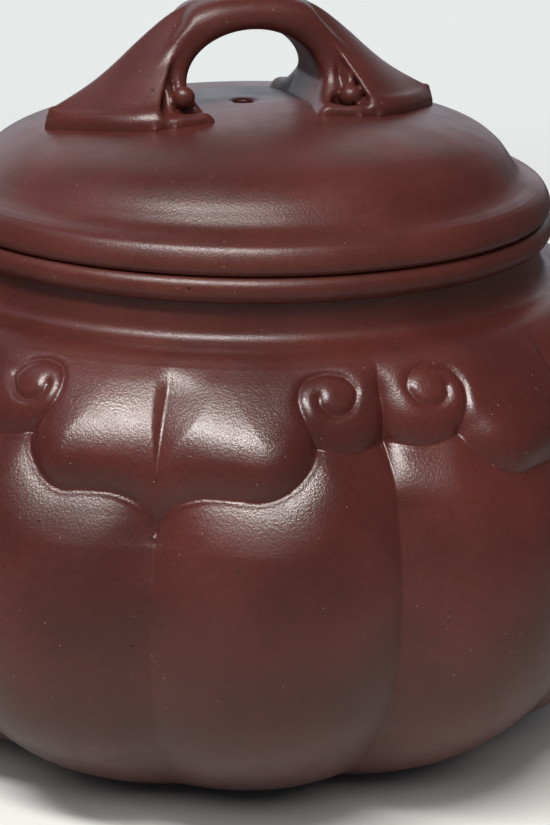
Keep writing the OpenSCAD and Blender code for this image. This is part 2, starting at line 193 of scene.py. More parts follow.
def surface_nets(field, low, step):
    """Vertices and quads of the surface where a sampled field changes sign (negative inside)."""
    inside = field < 0
    total = np.zeros(tuple(n - 1 for n in field.shape) + (3,))
    count = np.zeros(total.shape[:3])
    shape = total.shape[:3]
    for axis in range(3):
        others = [k for k in range(3) if k != axis]
        for du in (0, 1):
            for dv in (0, 1):
                first = [slice(0, n) for n in shape]
                first[others[0]] = slice(du, du + shape[others[0]])
                first[others[1]] = slice(dv, dv + shape[others[1]])
                second = list(first)
                second[axis] = slice(1, 1 + shape[axis])
                fa, fb = field[tuple(first)], field[tuple(second)]
                cross = (fa < 0) != (fb < 0)
                t = np.where(cross, fa / np.where(cross, fa - fb, 1), 0)
                place = np.zeros(shape + (3,))
                place[..., axis] = t
                place[..., others[0]] = du
                place[..., others[1]] = dv
                total += place * cross[..., None]
                count += cross
    used = count > 0
    index = np.full(shape, -1)
    index[used] = np.arange(used.sum())
    cell = np.stack(np.nonzero(used), -1)
    verts = np.asarray(low) + step * (cell + total[used] / count[used][:, None])
    quads = []
    for axis in range(3):
        others = [k for k in range(3) if k != axis]
        sl = [slice(1, n) for n in shape]
        sl[axis] = slice(0, shape[axis])
        a = inside[tuple(sl)]
        hi = list(sl)
        hi[axis] = slice(1, 1 + shape[axis])
        b = inside[tuple(hi)]
        at = np.stack(np.nonzero(a != b), -1)
        rising = a[a != b]
        base = at.copy()
        for k in others:
            base[:, k] += 1
        offsets = [(-1, -1), (0, -1), (0, 0), (-1, 0)]
        corners = []
        for du, dv in offsets:
            c = base.copy()
            c[:, others[0]] += du
            c[:, others[1]] += dv
            corners.append(index[c[:, 0], c[:, 1], c[:, 2]])
        q = np.stack(corners, -1)
        flip = rising == (axis == 1)
        q[flip] = q[flip][:, ::-1]
        quads.append(q)
    return verts, np.concatenate(quads)


# ---------------------------------------------------------------- clay
def node(tree, kind, **values):
    """A new shader node with its attributes and input values set."""
    n = tree.nodes.new("ShaderNode" + kind)
    for key, value in values.items():
        if hasattr(n, key):
            setattr(n, key, value)
        else:
            n.inputs[key.replace("_", " ")].default_value = value
    return n


def noise(tree, place, size_mm, detail=2.0, rough=0.5):
    n = node(tree, "TexNoise", Scale=1 / (size_mm * MM), Detail=detail, Roughness=rough)
    tree.links.new(place, n.inputs["Vector"])
    return n.outputs["Fac"]


def spread(tree, value, low, high, to_low=0.0, to_high=1.0):
    """Maps a value smoothly from one range to another."""
    n = node(tree, "MapRange", From_Min=low, From_Max=high, To_Min=to_low, To_Max=to_high)
    n.interpolation_type = "SMOOTHSTEP"
    tree.links.new(value, n.inputs["Value"])
    return n.outputs["Result"]


def colour_mix(tree, factor, a, b, blend="MIX"):
    n = node(tree, "Mix", data_type="RGBA", blend_type=blend)
    for socket, value in ((n.inputs[0], factor), (n.inputs[6], a), (n.inputs[7], b)):
        if isinstance(value, (tuple, float, int)):
            socket.default_value = value
        else:
            tree.links.new(value, socket)
    return n.outputs[2]


# Sizes in millimetres of the clay's clouds, fine mottle, specks, pits, satin and three grains
CLOUD, MOTTLE, SPECK, PIT, SATIN = 16, 0.5, 1.5, 5.2, 5.0
COARSE_GRAIN, LEATHER_GRAIN, FINE_GRAIN = 1.2, 0.28, 0.15
COARSE_HEIGHT, LEATHER_HEIGHT, FINE_HEIGHT, PIT_DEPTH = 0.006, 0.014, 0.014, 0.12
# Ranges of the noise or the cells' distance that bring each of them out
CLOUD_RANGE, MOTTLE_RANGE, SATIN_RANGE = (0.3, 0.7), (0.3, 0.72), (0.3, 0.7)
SPECK_RANGE, PIT_RANGE = (0.045, 0.025), (0.038, 0.024)
# How much the clouds and pits shade the clay, and how far the satin's roughness swings
CLOUD_DARK, CLOUD_PALE, PIT_DARK, SATIN_SWING = 0.78, 1.22, 0.35, 0.04
SPECK_COLOUR = (0.34, 0.23, 0.19, 1.0)
MOTTLE_DARK, MOTTLE_PALE = (0.9, 0.9, 0.9, 1), (1.1, 1.08, 1.07, 1)
# Heights in metres between which the relief's polish comes in and goes out
POLISH_FROM, POLISH_TO = (0.034, 0.042), (0.0535, 0.051)


def shade(colour, factor):
    """A lighter or darker version of a colour."""
    return tuple(min(1.0, c * factor) for c in colour) + (1.0,)


def cells_at(tree, place, size_mm, **values):
    """Distance from the middles of cells of a size."""
    n = node(tree, "TexVoronoi", Scale=1 / (size_mm * MM), Randomness=1.0, **values)
    tree.links.new(place, n.inputs["Vector"])
    return n.outputs["Distance"]


def bump(tree, height, distance_mm, under=None, invert=False):
    n = node(tree, "Bump", Strength=1.0, Distance=distance_mm * MM, invert=invert)
    tree.links.new(height, n.inputs["Height"])
    if under is not None:
        tree.links.new(under, n.inputs["Normal"])
    return n.outputs["Normal"]


def polished(tree, place, dull, polish):
    """Roughness, made lower by polish in the zone of the relief."""
    height = node(tree, "SeparateXYZ")
    tree.links.new(place, height.inputs[0])
    zone = node(tree, "Math", operation="MULTIPLY")
    tree.links.new(spread(tree, height.outputs["Z"], *POLISH_FROM), zone.inputs[0])
    tree.links.new(spread(tree, height.outputs["Z"], *POLISH_TO), zone.inputs[1])
    gloss = node(tree, "Math", operation="MULTIPLY_ADD")
    tree.links.new(zone.outputs[0], gloss.inputs[0])
    gloss.inputs[1].default_value = -polish
    tree.links.new(dull, gloss.inputs[2])
    return gloss.outputs[0]


def clay(name, colour, roughness, grain=1.0, polish=0.0, shine=0.5):
    """Fired zisha clay: fine leathery grain, tiny pale specks, a few dark pits and a satin skin.

    Polish is how much the modelling tool smoothed the zone of the relief."""
    m = bpy.data.materials.new(name)
    m.use_nodes = True
    tree = m.node_tree
    bsdf = tree.nodes["Principled BSDF"]
    place = node(tree, "TexCoord").outputs["Object"]
    clouds = spread(tree, noise(tree, place, CLOUD, 3.0), *CLOUD_RANGE)
    body = colour_mix(tree, clouds, shade(colour, CLOUD_DARK), shade(colour, CLOUD_PALE))
    mottle = spread(tree, noise(tree, place, MOTTLE, 3.0), *MOTTLE_RANGE)
    body = colour_mix(tree, 1.0, body, colour_mix(tree, mottle, MOTTLE_DARK, MOTTLE_PALE), "MULTIPLY")
    speck = spread(tree, cells_at(tree, place, SPECK), *SPECK_RANGE)
    body = colour_mix(tree, speck, body, SPECK_COLOUR)
    pit = spread(tree, cells_at(tree, place, PIT), *PIT_RANGE)
    body = colour_mix(tree, pit, body, shade(colour, PIT_DARK))
    tree.links.new(body, bsdf.inputs["Base Color"])
    satin = noise(tree, place, SATIN, 4.0, 0.6)
    dull = spread(tree, satin, *SATIN_RANGE, roughness - SATIN_SWING, roughness + SATIN_SWING)
    tree.links.new(polished(tree, place, dull, polish), bsdf.inputs["Roughness"])
    leather = cells_at(tree, place, LEATHER_GRAIN, feature="SMOOTH_F1", Smoothness=0.5)
    skin = bump(tree, noise(tree, place, COARSE_GRAIN, 1.0), COARSE_HEIGHT * grain)
    skin = bump(tree, leather, LEATHER_HEIGHT * grain, skin)
    skin = bump(tree, noise(tree, place, FINE_GRAIN, 1.0), FINE_HEIGHT * grain, skin)
    skin = bump(tree, pit, PIT_DEPTH, skin, invert=True)
    tree.links.new(skin, bsdf.inputs["Normal"])
    bsdf.inputs["Specular IOR Level"].default_value = shine
    bsdf.inputs["IOR"].default_value = 1.5
    return m


CLAY = (0.063, 0.0140, 0.0105)
BODY_CLAY = clay("body_clay", CLAY, 0.38, polish=0.08)
LID_CLAY = clay("lid_clay", CLAY, 0.37, grain=0.8, shine=0.45)
INNER_CLAY = clay("inner_clay", tuple(c * 0.9 for c in CLAY), 0.6, grain=1.6)


# ---------------------------------------------------------------- relief of the shoulder, per head
def lobe_drop(angle, z):
    """How far the lobed wall lies inside its crests."""
    off = np.abs((angle + HALF_HEAD) % (2 * HALF_HEAD) - HALF_HEAD)
    u = off / HALF_HEAD
    depth = np.where(u < 0.5, TIP_CREASE, SIDE_CREASE)
    return crease_share(z) * depth * (1 - np.sin(np.pi * u))


# Lines of one head as (degrees from its middle, height): mirrored for the other half
EDGE = [(0, 37.5), (0.5, 38.4), (1.1, 39.5), (2.2, 40.7), (4.0, 41.45), (5.9, 41.9), (9, 42.0),
        (12.3, 41.8), (14.7, 42.2), (17.0, 43.3), (19.0, 45.0), (20.0, 46.7)]
BAND = [(20.0, 46.7), (21.2, 46.3), (22.7, 46.0), (25.2, 45.7), (28.2, 46.1), (30.5, 47)]
SCROLL = [(20.0, 46.7), (18.5, 48.6), (17.8, 50.3), (18.7, 51.6), (20.6, 52.1), (22.6, 52.2), (24.6, 51.9),
          (25.8, 51.2), (26.1, 50.4), (24.9, 49.2), (22.8, 48.9), (20.9, 49.6), (20.6, 50.4)]
EYE = (22.3, 50.5)


def meridian(z):
    """Distance up the wall's outline, which keeps the relief unstretched where the wall leans in."""
    zs = np.linspace(WALL_BOTTOM_Z, WALL_TOP_Z, 800)
    s = np.concatenate([[0], np.cumsum(np.hypot(np.diff(zs), np.diff(crest_r(zs))))])
    return np.interp(z, zs, s)


def on_tile(points):
    """Points of (degrees, height) as lengths round and up the wall."""
    return np.stack([np.radians(points[:, 0]) * crest_r(points[:, 1]), meridian(points[:, 1])], -1)


# Pairs are heights, or angles from a head's middle, between which a shape comes in or goes out
RELIEF_LOW, RELIEF_TOP, HEAD_TOP = (30, 34), (53.5, 52.6), (53.4, 51.2)
HEAD_LIFT, CHEEK_TURN, CHEEK_FADE, FADED = 0.9, 3.8, (44, 53), 0.8
# The hollow along a head's edge: its depth, its width above the edge, its width below
EDGE_GROOVE, TURN_WIDTH, SHELF = 1.4, 2.9, 6.6
SHELF_TOP, SHELF_CURVE = 1.3, 1.2
# The thin lip on the edge and what it gains at the tip, with their widths
LIP, LIP_OFF, LIP_WIDTH = 0.05, 0.3, 0.22
TIP_LIP, TIP_LIP_WIDTH = 0.2, 4
# The groove down a head's middle: depth, curve of its walls, widths at the tip, on the left and on the right
CENTRE_GROOVE, GROOVE_CURVE, TIP_WIDTH, LEFT_WIDTH, RIGHT_WIDTH = 0.5, 1.2, 0.7, 1.4, 5.0
GROOVE_OPENS, GROOVE_TOP = (40, 50), (53.2, 50.2)
SIDE_GROOVE, SIDE_WIDTH, SIDE_TOP, SIDE_LOW = 0.9, 0.9, (53.1, 50.1), (40, 47)
SCROLL_GROOVE, SCROLL_WIDTH, SCROLL_CURVE = 0.45, 0.42, 1.2
BUTTON, BUTTON_WIDTH, EYE_DOT, DOT_WIDTH = 0.25, 2.8, 0.06, 1.0
FRONT_HEAD, LOW_DRIFT, TOP_DRIFT, DRIFT_RISE = 4, 2.0, 3.6, (46.5, 49.5)
DRIFT_FROM, DRIFT_END = (6, 18), (30, 21)
# The wall's unevenness, and how far inward it is moved so that none of it stands out
WOBBLE, WOBBLE_IN, WOBBLE_TOP = 0.06, 0.17, (53.6, 47.6)
SOFT_ROUNDS = 30


def drifted(a, z, head):
    """The front head's left scroll was set a little nearer the middle by hand."""
    left = (head == FRONT_HEAD) & (a < 0)
    share = np.where(left, ramp(-a, *DRIFT_FROM) * ramp(-a, *DRIFT_END), 0)
    return a - mix(LOW_DRIFT, TOP_DRIFT, ramp(z, *DRIFT_RISE)) * share


def softened(values, times):
    """A height field smoothed by small averages, round the pot and up its wall."""
    for _ in range(times):
        values = 0.5 * values + 0.25 * (np.roll(values, 1, 1) + np.roll(values, -1, 1))
        below, above = np.vstack([values[:1], values[:-1]]), np.vstack([values[1:], values[-1:]])
        values = 0.5 * values + 0.25 * (below + above)
    return values


def edge_relief(a, x, y, z):
    """Cheeks over a head's lower edge, the hollow and lip along it, and the groove down the middle."""
    lower = np.vstack([spline(EDGE), spline(BAND)[1:]])
    d = distance_to(on_tile(lower)[::3], x, y)
    over = z > np.interp(np.abs(a), lower[:, 0], lower[:, 1])
    pillow = np.sin(np.pi / 2 * np.clip(d / CHEEK_TURN, 0, 1)) * (1 - FADED * ramp(z, *CHEEK_FADE))
    h = np.where(over, HEAD_LIFT * pillow, 0)
    depth = np.clip(1 - np.where(over, -d, d) / SHELF, 0, SHELF_TOP) ** SHELF_CURVE
    shelf = softened(EDGE_GROOVE * depth, SOFT_ROUNDS)
    edge = np.where(over, EDGE_GROOVE * np.exp(-d / TURN_WIDTH), shelf)
    wide = mix(TIP_WIDTH, np.where(a < 0, LEFT_WIDTH, RIGHT_WIDTH), ramp(z, *GROOVE_OPENS))
    centre = np.where(over, ramp(z, *GROOVE_TOP), 0) * (1 - np.clip(x / wide, 0, 1)) ** GROOVE_CURVE
    h = h - np.maximum(edge, CENTRE_GROOVE * centre)
    lip = LIP + TIP_LIP * np.exp(-(x / TIP_LIP_WIDTH) ** 2)
    h = h + np.where(over, 0, lip * np.exp(-((d - LIP_OFF) / LIP_WIDTH) ** 2))
    return h * ramp(z, *HEAD_TOP)


def scroll_relief(x, y):
    """The coiled line and the button that it ends round."""
    line = distance_to(on_tile(spline(SCROLL, 8))[::2], x, y)
    (ex, ey), = on_tile(np.array([EYE]))
    from_eye = np.hypot(x - ex, y - ey)
    button = BUTTON * np.exp(-(from_eye / BUTTON_WIDTH) ** 2)
    dot = EYE_DOT * np.exp(-(from_eye / DOT_WIDTH) ** 2)
    return button + dot - SCROLL_GROOVE * np.exp(-(line / SCROLL_WIDTH) ** SCROLL_CURVE)


def relief(angle, z):
    """Height of the modelled relief over the lobed wall, in millimetres."""
    head = np.round(angle / (2 * HALF_HEAD)).astype(int) % HEADS
    a = drifted((angle + HALF_HEAD) % (2 * HALF_HEAD) - HALF_HEAD, z, head)
    x, y = np.radians(np.abs(a)) * crest_r(z), meridian(z)
    gap = np.radians(HALF_HEAD - np.abs(a)) * crest_r(z)
    side = ramp(z, *SIDE_TOP) * ramp(z, *SIDE_LOW) * np.exp(-np.abs(gap) / SIDE_WIDTH)
    h = edge_relief(a, x, y, z) - SIDE_GROOVE * side + scroll_relief(x, y)
    return h * ramp(z, *RELIEF_TOP)


def wobble(angle, z):
    """Slight unevenness of a wall shaped by hand."""
    t = np.radians(angle)
    waves = np.sin(2 * t + 0.6) + np.sin(5 * t + 0.11 * z) + 0.7 * np.sin(9 * t - 0.17 * z + 2)
    return WOBBLE * waves - WOBBLE_IN


def wall_in_r(z):
    """Radius of the round inside of the wall."""
    return crest_r(z) - SIDE_CREASE - WALL_T


# The shoulder's cap, the hollow where it turns up, and the neck
CAP_Z = 52.6
CAP = [(float(crest_r(CAP_Z)), CAP_Z), (39.55, 53.25), (38.4, 53.62), (37.3, 53.76), (36.5, 53.8),
       (35.9, 53.95), (35.4, 54.3), (35.05, 54.8), (34.85, 55.5), (34.75, 56.3), (34.7, 57.2),
       (34.7, 57.9)]
FINE_FROM_Z = 36.5


def profile_rows():
    """Closed profile of the pot's shell as (radius, height): what bears lobes and relief, and the rest."""
    fine = 0.2
    coarse = 0.6
    foot, change, top = meridian(np.array([WALL_BOTTOM_Z, FINE_FROM_Z, CAP_Z]))
    s = np.concatenate([np.arange(foot, change, coarse), np.arange(change, top, fine), [top]])
    zs = np.linspace(WALL_BOTTOM_Z, WALL_TOP_Z, 2000)
    z = np.interp(s, meridian(zs), zs)
    outer = np.vstack([np.stack([crest_r(z), z], -1), spline(CAP, 8)[1:]])
    neck = np.array([(NECK_R - 0.1, MOUTH_Z), (BORE_R + 2, MOUTH_Z), (BORE_R, MOUTH_Z)])
    inner_cap = bezier([(BORE_R, NECK_Z), (BORE_R, mix(WALL_TOP_Z, NECK_Z, 0.4)),
                        (wall_in_r(WALL_TOP_Z), WALL_TOP_Z)], 8)
    zi = np.linspace(WALL_TOP_Z, WALL_BOTTOM_Z, 40)[1:]
    inner = np.stack([wall_in_r(zi), zi], -1)
    return outer, np.vstack([neck, inner_cap, inner])


def make_pot_shell():
    cols = 1440
    outer, rest = profile_rows()
    rows, n = np.vstack([outer, rest]), len(outer)
    angle = np.arange(cols)[None, :] * 360 / cols
    r, z = (rows[:, k:k + 1] + 0 * angle for k in range(2))
    angle = angle + 0 * r
    dr, dz = np.gradient(rows[:n, 0]), np.gradient(rows[:n, 1])
    length = np.hypot(dr, dz)
    nr, nz = (dz / length)[:, None], (-dr / length)[:, None]
    h = relief(angle[:n], z[:n]) * ramp(z[:n], *RELIEF_LOW)
    h = h + wobble(angle[:n], z[:n]) * ramp(z[:n], *WOBBLE_TOP)
    r[:n] = r[:n] - lobe_drop(angle[:n], z[:n]) + h * nr
    z[:n] = z[:n] + h * nz
    t = np.radians(angle)
    verts = np.stack([r * np.cos(t), r * np.sin(t), z], -1).reshape(-1, 3)
    obj = mesh_object("pot_shell", verts, grid_quads(len(rows), cols, wrap_rows=True), "pot", BODY_CLAY)
    names = [kind + "_%d" % (k + 1) for kind in ("ruyi_head", "scroll_pair") for k in range(HEADS)]
    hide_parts("body_wall", "shoulder_ring", "neck_ring", *names)


# ---------------------------------------------------------------- mouth ring and lid
def make_mouth_rim():
    outside = spline([(NECK_R, MOUTH_Z), (NECK_R + 0.7, 58.2), (MOUTH_R - 0.1, 58.8), (MOUTH_R, 59.4),
                      (MOUTH_R - 0.15, 60.1), (MOUTH_R - 0.6, 60.65), (MOUTH_R - 1.3, SEAM_Z)], 10)
    inside = [(BORE_R + 0.5, SEAM_Z), (BORE_R + 0.1, SEAM_Z - 0.15), (BORE_R, SEAM_Z - 0.5),
              (BORE_R, MOUTH_Z)]
    ring = revolve("mouth_rim", np.vstack([[(NECK_R - 1.2, MOUTH_Z)], outside, inside]), "pot", LID_CLAY)
    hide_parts("mouth_ring")


# The lid from the steam hole over the dome's edge and the ogee to the rim band
LID_OUT = [(0.0, 72.6), (4, 72.58), (8, 72.45), (12, 72.2), (16, 71.85), (20, 71.3), (23, 70.7),
           (26, 69.8), (28, 68.85), (29.6, 67.6), (30.8, 66.3), (31.8, 65.25), (32.8, 64.7),
           (33.6, 64.45), (34.3, 64.2)]
LID_RIM = [(34.3, 64.2), (34.8, 63.85), (35.15, 63.4), (35.45, 62.8), (35.65, 62.2), (35.7, 61.8),
           (35.6, 61.35), (35.3, LID_Z)]
LEAN, LEAN_RISE = 0.024, (64.3, 67.3)


def lean(x, y):
    """How much higher a place lies because the dome and knob lean a little to the camera's right."""
    t = math.radians(CAM_AZIMUTH)
    return LEAN * (x * math.cos(t) + y * math.sin(t))


def lean_dome(r, z, a):
    """The lean as a warp of the lid, from the dome's edge upward."""
    return r, z + lean(r * np.cos(a), r * np.sin(a)) * ramp(z, *LEAN_RISE)


def make_lid():
    top = spline(LID_OUT, 8)
    keep = top[:, 0] > STEAM_HOLE_R + 0.35
    hole = np.array([(STEAM_HOLE_R, 69.85), (STEAM_HOLE_R, 72.2), (STEAM_HOLE_R + 0.12, 72.45)])
    rim = spline(LID_RIM, 8)[1:]
    under = np.array([(34.6, LID_Z), (FLANGE_R + 0.2, LID_Z), (FLANGE_R, LID_Z + 0.2), (FLANGE_R, 64.2)])
    radii = np.linspace(FLANGE_R, STEAM_HOLE_R, 22)
    inner = np.stack([radii, np.maximum(np.interp(radii, top[:, 0], top[:, 1]) - LID_T, 64.4)], -1)
    shell = np.vstack([hole, top[keep], rim, under, inner])[::-1]
    lid = revolve("lid_shell", shell, "lid", LID_CLAY, warp=lean_dome)
    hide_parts("lid_dome", "lid_rim")


# ---------------------------------------------------------------- knob
KNOB_TURN = -4.0
# Ridge over bridge and leaves, half width of the leaves, and how far out the legs reach at each height
RIDGE = [(0, 85), (4, 84.7), (7, 83.8), (9, 82.8), (11, 81.3), (13, 79.6), (15, 77.8), (17, 76.2),
         (19, 74.9), (21, 73.8), (22.6, 73.0), (24, 72.5)]
LEAF_PLAN = [(0, 9.7), (8, 10.3), (10.5, 10.5), (13.5, 10.0), (15.5, 8.9), (17.5, 7.2), (19.5, 5.0),
             (21.3, 2.7), (22.5, 1.0), (22.9, 0.2), (24, -2.0)]
CREST_REACH = [(70, 13.9), (72, 13.8), (73.9, 13.3), (75.6, 12.5), (78.3, 11.0), (80.5, 9.3), (82, 8.0),
               (84, 7.0), (88, 7.0)]
RIDGE_ROUND, STEEPEST = 0.035, 2.2
ARCH_HALF, ARCH_LOW, ARCH_HIGH, ARCH_DRAW, ARCH_CLOSE = 7.8, 75.2, 81.1, 0.35, 0.2
BRIDGE_HALF, LEG_SPREAD, LEG_TOP, LEG_FALL = 4.5, 5.4, 81.6, 9.6
FOLD, FOLD_PITCH, FOLD_AT, FOLD_IN, FOLD_TOP = 0.85, 2.35, 10.7, (9, 10), (78, 75.4)
# The leaves: thickness at the edge, curve across, smallest half width, and the bead's height, place and width
LEAF_EDGE, LEAF_CURVE, THINNEST, LEAF_BEAD, BEAD_IN, BEAD_WIDTH = 1.15, 1.2, 0.05, 0.28, 0.5, 0.75
# How much faster than the true distance the legs' reach grows, and how far the leaves run in below them
REACH_GROWS, LEAF_UNDER = 1.3, 1.3
BURIED = 0.5
# The small balls by the legs (left and right in x and z), and the hollow round each
BALL_X, BALL_Z, BALL_Y, BALL_R = (9.0, 10.5), (74.7, 73.7), 7.3, 1.3
DENT_X, DENT_Z, DENT_Y, DENT_R = -0.9, -0.6, 7.9, 1.5
KNOB_BOX = [(-24.6, 49.2), (-13.4, 26.8), (69.6, 16.4)]


def through(points, x):
    """Height at x of a smooth curve through points."""
    p = spline(points, 10)
    return np.interp(x, p[:, 0], p[:, 1])


def steep(values, step):
    """Length of a surface's gradient with the height added, to keep fields near true distances."""
    g = np.gradient(values, step)
    return np.sqrt(1 + sum(v * v for v in g))


def bridge_field(X, Y, Z, top, arch, reach):
    """Negative inside the bridge: below its ridge, between its sides, round the arch."""
    fall = np.clip((LEG_TOP - Z) / LEG_FALL, 0, 1.0)
    folds = np.cos(2 * np.pi * (X - FOLD_AT) / FOLD_PITCH)
    folds = folds * ramp(X, *FOLD_IN) * ramp(Z, *FOLD_TOP)
    half = BRIDGE_HALF + LEG_SPREAD * fall ** 3 + FOLD * folds
    side = (Y - half) / np.sqrt(1 + (LEG_SPREAD * 3 / LEG_FALL * fall ** 2) ** 2)
    legs = smax(smax(top, side, 2.2), reach / REACH_GROWS, 0.8)
    return smax(legs, arch, 2.0)


def leaf_field(Y, Z, top, dome, plan, arch, reach, step):
    """Negative inside the leaves and the thin plate that they lie on."""
    outline = (Y - plan[:, :, None]) / steep(plan + 0 * dome, step)[:, :, None]
    leaf = smax(smax(top, outline, 0.7), -(reach + LEAF_UNDER) / REACH_GROWS, 0.5)
    plate = smax(Z - (dome + LEAF_EDGE)[:, :, None], outline, 0.9)
    return smax(smin(leaf, plate, 0.8), arch, 1.6)


def add_balls(whole, x, X, Y, Z):
    """The field with a hollow and a small ball by each leg."""
    bx, bz = (np.where(x > 0, right, left)[:, None, None] for left, right in (BALL_X, BALL_Z))
    ball = np.sqrt((X - bx) ** 2 + (Y - BALL_Y) ** 2 + (Z - bz) ** 2)
    dent = np.sqrt((X - bx - DENT_X) ** 2 + (Y - DENT_Y) ** 2 + ((Z - bz - DENT_Z) * 0.9) ** 2)
    return smin(smax(whole, DENT_R - dent, 0.7), ball - BALL_R, 0.4)


def knob_field(x, y, z, step):
    """A field over a grid of places that is negative inside the knob."""
    px, py = np.abs(x)[:, None], np.abs(y)[None, :]
    dome = np.interp(np.hypot(px, py), *np.array(LID_OUT).T)
    middle = through(RIDGE, px)
    ridge = middle - RIDGE_ROUND * py ** 2
    plan = through(LEAF_PLAN, px)
    share = np.clip(1 - (py / np.maximum(plan, THINNEST)) ** LEAF_CURVE, 0, 1)
    bead = np.exp(-((plan - py - BEAD_IN) / BEAD_WIDTH) ** 2)
    leaf_top = dome + LEAF_EDGE + np.maximum(middle - dome - LEAF_EDGE, 0) * share + LEAF_BEAD * bead
    X, Y, Z = np.meshgrid(np.abs(x), np.abs(y), z, indexing="ij")
    over_ridge = (Z - ridge[:, :, None]) / steep(ridge, step)[:, :, None]
    over_leaf = (Z - leaf_top[:, :, None]) / np.minimum(steep(leaf_top, step), STEEPEST)[:, :, None]
    reach = X - np.interp(Z, *np.array(CREST_REACH).T)
    below, outside = np.maximum(ARCH_LOW - Z, 0), np.maximum(Y - BRIDGE_HALF, 0)
    narrow = ARCH_HALF - ARCH_DRAW * below - ARCH_CLOSE * outside
    hollow = np.hypot(X / narrow, np.maximum(Z - ARCH_LOW, 0) / (ARCH_HIGH - ARCH_LOW))
    arch = (1 - hollow) * ARCH_HALF
    legs = bridge_field(X, Y, Z, over_ridge, arch, reach)
    leaves = leaf_field(Y, Z, over_leaf, dome, plan, arch, reach, step)
    whole = add_balls(smin(legs, leaves, 0.5), x, X, Y, Z)
    return smax(whole, (dome - BURIED)[:, :, None] - Z, 0.2)


def make_knob():
    step = 0.24
    x, y, z = (low + step * np.arange(int(length / step)) for low, length in KNOB_BOX)
    verts, quads = surface_nets(knob_field(x, y, z, step), [low for low, length in KNOB_BOX], step)
    t = math.radians(KNOB_TURN)
    turn = np.array([[math.cos(t), math.sin(t), 0], [-math.sin(t), math.cos(t), 0], [0, 0, 1]])
    verts = verts @ turn
    verts[:, 2] += lean(verts[:, 0], verts[:, 1])
    knob = mesh_object("knob", verts, quads, "lid", LID_CLAY)
    soft = knob.modifiers.new("soft", "SMOOTH")
    soft.factor, soft.iterations = 0.5, 3
    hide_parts("knob_bridge", "knob_leaf_left", "knob_leaf_right")


# ---------------------------------------------------------------- spout and handle
REACH = 79.0
SPOUT_ROOT_Z, SPOUT_TIP_Z, SPOUT_ROOT_R, SPOUT_TIP_R, SPOUT_WALL = 25.0, 60.0, 10.5, 4.6, 2.0
SPOUT_TAPER, SPOUT_FLARE, FLARE_FROM_X, FLARE_LENGTH = 1.6, 3.4, 51.5, 1.7
# Where the spout's curve starts and ends, and the pull of its ends: in x from the tip, in z from either end
SPOUT_OUT, TIP_BACK, ROOT_PULL, TIP_PULL = 0.6, 0.7, (-11, 4), (-14, -14)
LIP_IN, LIP_OPEN, LIP_FROM = 0.45, 0.35, (0.975, 1.0)
HANDLE_TOP_Z, HANDLE_LOW_Z, HANDLE_T, HANDLE_W = 47.0, 16.0, 7.0, 8.6
HANDLE_OUT, HANDLE_BACK, HANDLE_DROP, HANDLE_MIDDLE = 19.0, 15.0, 17.0, 0.62
# The ways in which the handle leaves the wall above and below, and the share of its drop above the back
WAY_ABOVE, WAY_BELOW, ABOVE_SHARE = (-1, 0, 0.32), (-1, 0, -0.07), 0.88
# How far the handle stays inside its reach and how deep its ends sit in the wall
HANDLE_IN, HANDLE_SUNK = 0.05, 1.5
# The swelling of its ends: a short one that starts after ROOT_FLAT and a long faint one
ROOT_FLAT, ROOT_LENGTH, LONG_SHARE, LONG_LENGTH, SWELL_T, SWELL_W = 2.0, 2.2, 0.12, 12, 0.55, 0.5


def tube(path, radii, sides):
    """Rings of points square to a path in the XZ plane; radii gives each ring's two half widths."""
    d = np.gradient(path, axis=0)
    d /= np.linalg.norm(d, axis=1)[:, None]
    w = np.arange(sides) * 2 * np.pi / sides
    up = np.stack([-d[:, 2], 0 * d[:, 0], d[:, 0]], -1)
    radii = np.asarray(radii)
    ring = path[:, None, :] + (radii[:, 0, None] * np.cos(w))[..., None] * up[:, None, :]
    ring[..., 1] += radii[:, 1, None] * np.sin(w)
    return ring.reshape(-1, 3)


def make_spout():
    tip_x = REACH - TIP_BACK * SPOUT_TIP_R
    root_x = float(wall_in_r(SPOUT_ROOT_Z)) + SPOUT_OUT
    n = 80
    path = bezier([(root_x, 0, SPOUT_ROOT_Z), (tip_x + ROOT_PULL[0], 0, SPOUT_ROOT_Z + ROOT_PULL[1]),
                   (tip_x + TIP_PULL[0], 0, SPOUT_TIP_Z + TIP_PULL[1]), (tip_x, 0, SPOUT_TIP_Z)], n)
    t = np.linspace(0, 1, n + 1)
    r = mix(SPOUT_TIP_R, SPOUT_ROOT_R, (1 - t) ** SPOUT_TAPER)
    flare = SPOUT_FLARE * np.exp(-np.maximum(path[:, 0] - FLARE_FROM_X, 0) / FLARE_LENGTH)
    at_lip = ramp(t, *LIP_FROM)
    out = r + flare - LIP_IN * at_lip
    bore = r - SPOUT_WALL + LIP_OPEN * at_lip
    sides = 96
    outer = tube(path, np.stack([out, out], -1), sides)
    inner = tube(path, np.stack([bore, bore], -1), sides).reshape(n + 1, sides, 3)[::-1].reshape(-1, 3)
    quads = grid_quads(2 * (n + 1), sides, wrap_rows=True, flip=True)
    spout = mesh_object("spout_clay", np.vstack([outer, inner]), quads, "pot", BODY_CLAY)
    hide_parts("spout")


